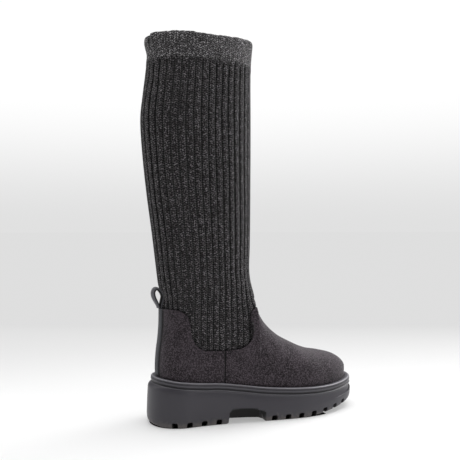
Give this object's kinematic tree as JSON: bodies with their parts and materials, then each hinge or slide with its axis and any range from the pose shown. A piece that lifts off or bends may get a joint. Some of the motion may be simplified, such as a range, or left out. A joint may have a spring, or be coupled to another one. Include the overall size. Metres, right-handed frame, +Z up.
{
  "type": "knee-high sweater boot",
  "caption": "Knee-high boot with a felt foot, ribbed knit shaft, plain knit cuff, heel pull loop and a chunky lugged sole, for the right foot.",
  "frame": {"origin": "middle of the heel's tread, on the floor the boot stands on", "axes": "+X to the toe, +Y to the inner (medial) side of the foot, +Z up"},
  "size_m": [0.2896, 0.104, 0.4705],
  "materials": {
    "sole_rubber": "moulded, low sheen, dark slate grey",
    "insole_lining": "brushed textile over foam",
    "felt": "heathered wool felt, charcoal",
    "rib_knit": "ribbed wool knit, heathered charcoal",
    "cuff_knit": "plain wool knit, heathered charcoal",
    "stay_tape": "smooth woven strip, grey",
    "loop_tape": "folded woven tape, grey"
  },
  "bodies": {
    "root": {"lug_sole": "sole_rubber", "insole": "insole_lining", "felt_foot": "felt", "knit_shaft": "rib_knit", "knit_cuff": "cuff_knit", "back_stay": "stay_tape", "pull_loop": "loop_tape"}
  },
  "joints": []
}
